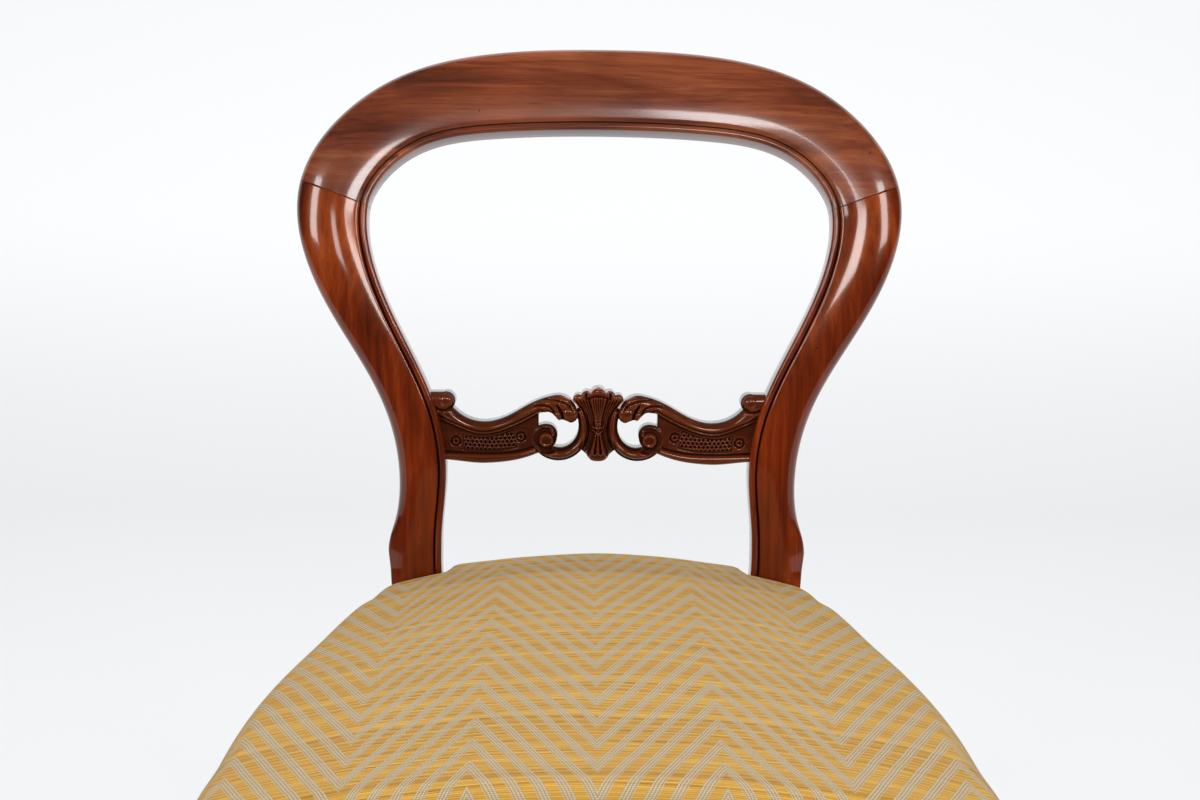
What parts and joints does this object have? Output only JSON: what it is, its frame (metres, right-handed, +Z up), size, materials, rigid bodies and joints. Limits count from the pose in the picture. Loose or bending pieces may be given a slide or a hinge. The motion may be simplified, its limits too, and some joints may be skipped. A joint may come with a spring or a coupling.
{
  "type": "balloon back chair",
  "caption": "Side chair with a moulded balloon-shaped back, carved and pierced mid rail, turned front legs, swept rear legs and a crowned seat upholstered over its rails.",
  "frame": {"origin": "on the floor, below the middle of the chair's footprint", "axes": "+Z up, -Y the way the sitter faces, +X to the right of someone who looks at the chair from its front"},
  "size_m": [0.4466, 0.4974, 0.8497],
  "materials": {
    "mahogany": "french polish, high gloss",
    "frame_beech": "sawn and planed, bare",
    "jute_webbing": "woven jute",
    "hessian": "plain open weave",
    "curled_hair": "matted fibre",
    "chevron_cloth": "woven chevron, gold and taupe"
  },
  "bodies": {
    "root": {"carved_mid_rail": "mahogany", "crest_rail": "mahogany", "left_back_post": "mahogany", "right_back_post": "mahogany", "front_left_leg": "mahogany", "front_right_leg": "mahogany", "front_rail": "frame_beech", "rear_rail": "frame_beech", "left_side_rail": "frame_beech", "right_side_rail": "frame_beech", "corner_block_front_left": "frame_beech", "corner_block_front_right": "frame_beech", "corner_block_rear_left": "frame_beech", "corner_block_rear_right": "frame_beech", "crest_joint_dowels": "frame_beech", "webbing_front_to_back": "jute_webbing", "webbing_side_to_side": "jute_webbing", "hessian_base_cloth": "hessian", "hair_stuffing": "curled_hair", "top_cover": "chevron_cloth"}
  },
  "joints": []
}
